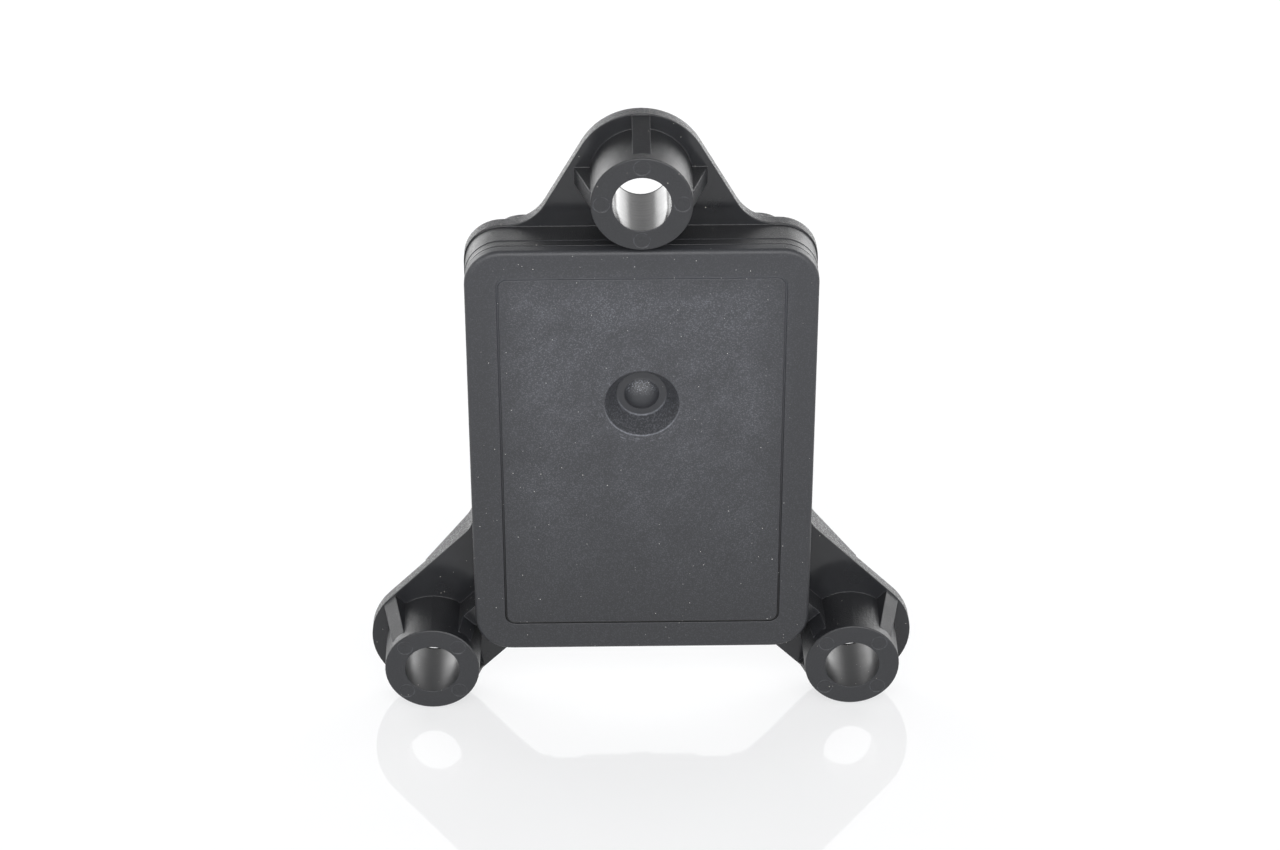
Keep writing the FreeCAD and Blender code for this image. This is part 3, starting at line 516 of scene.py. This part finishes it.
FINISHES = {
    "housing_plastic": housing_plastic(),
    "cover_plastic": cover_plastic(),
    "seal_rubber": seal_rubber(),
    "board_laminate": board_laminate(),
    "cell_steel": tinned_metal("cell_steel", (0.62, 0.6, 0.56), 0.3),
    "pin_metal": tinned_metal("pin_metal", (0.7, 0.7, 0.68), 0.28),
    "solder": tinned_metal("solder", (0.72, 0.72, 0.74), 0.22),
    "terminal_metal": tinned_metal("terminal_metal", (0.74, 0.7, 0.6), 0.26),
    "cell_glass": plain_finish("cell_glass", (0.62, 0.66, 0.62), (0.74, 0.76, 0.72), 0.5 * MM, 0.2),
    "silicon": plain_finish("silicon", (0.12, 0.12, 0.15), (0.17, 0.17, 0.2), 0.4 * MM, 0.18),
    "chip_plastic": plain_finish("chip_plastic", grey(0.02), grey(0.035), 0.3 * MM, 0.5),
    "capacitor_body": plain_finish(
        "capacitor_body", (0.36, 0.25, 0.16), (0.46, 0.33, 0.22), 0.4 * MM, 0.45
    ),
    "resistor_body": plain_finish("resistor_body", grey(0.03), (0.08, 0.08, 0.1), 0.5 * MM, 0.35),
}


def dress_nodes():
    """Gives every CAD node the finish that the record names for it."""
    slots = {part["node"]: part["material_slot"] for part in frame["record"]["subparts"]}
    for name, piece in frame["nodes"].items():
        piece.data.materials.clear()
        piece.data.materials.append(FINISHES[slots[name]])


def glossy_white():
    """White table top: keeps the shadow, and mirrors the sensor faintly."""
    shader = Shader("table_white")
    shader.nodes.remove(shader.surface)
    matt = shader.add("ShaderNodeBsdfDiffuse")
    matt.inputs["Color"].default_value = TABLE_PAINT
    glow = shader.add("ShaderNodeEmission")
    glow.inputs["Color"].default_value = TABLE_GLOW
    glow.inputs["Strength"].default_value = TABLE_GLOW_POWER
    path = shader.add("ShaderNodeLightPath")
    seen = shader.math("MAXIMUM", path.outputs["Is Camera Ray"], path.outputs["Is Glossy Ray"])
    body = shader.add("ShaderNodeMixShader")
    shader.join(shader.math("MULTIPLY", seen, TABLE_GLOW_SHARE), body.inputs["Fac"])
    shader.join(matt.outputs["BSDF"], body.inputs[1])
    shader.join(glow.outputs["Emission"], body.inputs[2])
    polish = shader.add("ShaderNodeBsdfGlossy")
    polish.inputs["Roughness"].default_value = TABLE_MIRROR_BLUR
    top = shader.add("ShaderNodeMixShader")
    top.inputs["Fac"].default_value = TABLE_MIRROR
    shader.join(body.outputs["Shader"], top.inputs[1])
    shader.join(polish.outputs["BSDF"], top.inputs[2])
    shader.join(top.outputs["Shader"], shader.output.inputs["Surface"])
    return shader.material


def table():
    """Table top under the lower bosses and ears."""
    mesh = bmesh.new()
    bmesh.ops.create_grid(mesh, x_segments=1, y_segments=1, size=TABLE_HALF)
    lean = Matrix.Rotation(math.atan(TABLE_SLOPE), 4, "X")
    bmesh.ops.transform(mesh, matrix=lean, verts=mesh.verts)
    bmesh.ops.translate(mesh, vec=(0, TABLE_TOUCH_Y, TABLE_TOUCH_Z), verts=mesh.verts)
    data = bpy.data.meshes.new("table")
    mesh.to_mesh(data)
    mesh.free()
    data.materials.append(glossy_white())
    top = bpy.data.objects.new("table", data)
    bpy.context.scene.collection.objects.link(top)


def surroundings():
    """White room with a dimmer ceiling, and a low level of light of its own."""
    world = bpy.data.worlds.new("room")
    world.use_nodes = True
    nodes = world.node_tree.nodes
    links = world.node_tree.links
    light = nodes["Background"]
    light.inputs["Color"].default_value = WHITE
    light.inputs["Strength"].default_value = ROOM_LIGHT
    white = nodes.new("ShaderNodeBackground")
    white.inputs["Color"].default_value = WHITE
    direction = nodes.new("ShaderNodeTexCoord")
    parts = nodes.new("ShaderNodeSeparateXYZ")
    links.new(direction.outputs["Generated"], parts.inputs["Vector"])
    ceiling = nodes.new("ShaderNodeMapRange")
    ceiling.inputs["From Min"].default_value = WALL_TOP
    ceiling.inputs["From Max"].default_value = CEILING_EDGE
    ceiling.inputs["To Min"].default_value = WALL_WHITE
    ceiling.inputs["To Max"].default_value = CEILING_WHITE
    links.new(parts.outputs["Z"], ceiling.inputs["Value"])
    links.new(ceiling.outputs["Result"], white.inputs["Strength"])
    path = nodes.new("ShaderNodeLightPath")
    seen = nodes.new("ShaderNodeMath")
    seen.operation = "MAXIMUM"
    links.new(path.outputs["Is Camera Ray"], seen.inputs[0])
    links.new(path.outputs["Is Glossy Ray"], seen.inputs[1])
    mixed = nodes.new("ShaderNodeMixShader")
    links.new(seen.outputs["Value"], mixed.inputs["Fac"])
    links.new(light.outputs["Background"], mixed.inputs[1])
    links.new(white.outputs["Background"], mixed.inputs[2])
    links.new(mixed.outputs["Shader"], nodes["World Output"].inputs["Surface"])
    bpy.context.scene.world = world


def softboxes():
    """Large soft lamps round the sensor, which only light and reflections show."""
    for name, (place, width, height, power) in SOFTBOXES.items():
        data = bpy.data.lights.new(name, "AREA")
        data.shape = "RECTANGLE"
        data.size = width
        data.size_y = height
        data.energy = power
        lamp = bpy.data.objects.new(name, data)
        lamp.location = place
        lamp.rotation_euler = (LAMP_AIM - Vector(place)).to_track_quat("-Z", "Y").to_euler()
        lamp.visible_camera = False
        bpy.context.scene.collection.objects.link(lamp)


def camera():
    """Camera at the photograph's place, from its pitch, yaw, roll and distance."""
    ahead = Vector((
        math.sin(VIEW_YAW) * math.cos(VIEW_PITCH),
        math.cos(VIEW_YAW) * math.cos(VIEW_PITCH),
        -math.sin(VIEW_PITCH),
    ))
    level_right = Vector((math.cos(VIEW_YAW), -math.sin(VIEW_YAW), 0))
    level_up = level_right.cross(ahead)
    right = math.cos(VIEW_ROLL) * level_right + math.sin(VIEW_ROLL) * level_up
    up = -math.sin(VIEW_ROLL) * level_right + math.cos(VIEW_ROLL) * level_up
    place = VIEW_AIM - VIEW_DISTANCE * ahead - VIEW_SHIFT_RIGHT * right - VIEW_SHIFT_UP * up
    data = bpy.data.cameras.new("camera")
    data.lens = LENS
    data.sensor_width = SENSOR_WIDTH
    data.clip_start = 0.01
    data.clip_end = 20.0
    view = bpy.data.objects.new("camera", data)
    turn = Matrix((right, up, -ahead)).transposed().to_4x4()
    view.matrix_world = Matrix.Translation(place) @ turn
    bpy.context.scene.collection.objects.link(view)
    bpy.context.scene.camera = view


dress_nodes()
table()
surroundings()
softboxes()
camera()
bpy.context.scene.view_settings.view_transform = "Standard"
